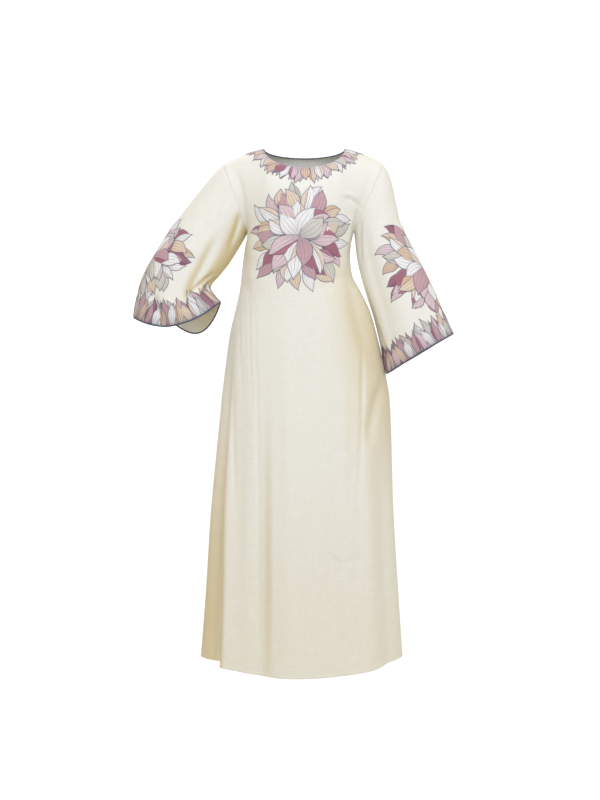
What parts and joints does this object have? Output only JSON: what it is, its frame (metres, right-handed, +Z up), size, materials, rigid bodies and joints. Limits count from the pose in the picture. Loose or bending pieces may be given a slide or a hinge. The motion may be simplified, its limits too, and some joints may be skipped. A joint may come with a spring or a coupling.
{
  "type": "kaftan",
  "caption": "Long A-line kaftan with bell sleeves and a bound round neck, in the hollow form it has when worn.",
  "frame": {"origin": "midway between the neck ends of the two shoulder seams, where the wearer's shoulders hold it up", "axes": "+X to the wearer's left, the front faces -Y, +Z up"},
  "size_m": [0.7989, 0.3615, 1.2947],
  "materials": {
    "cloth": "matte slubby linen weave",
    "binding": "matte bias binding"
  },
  "bodies": {
    "root": {"front": "cloth", "back": "cloth", "sleeve_right": "cloth", "sleeve_left": "cloth", "neck_binding": "binding", "cuff_binding_right": "binding", "cuff_binding_left": "binding"}
  },
  "joints": []
}
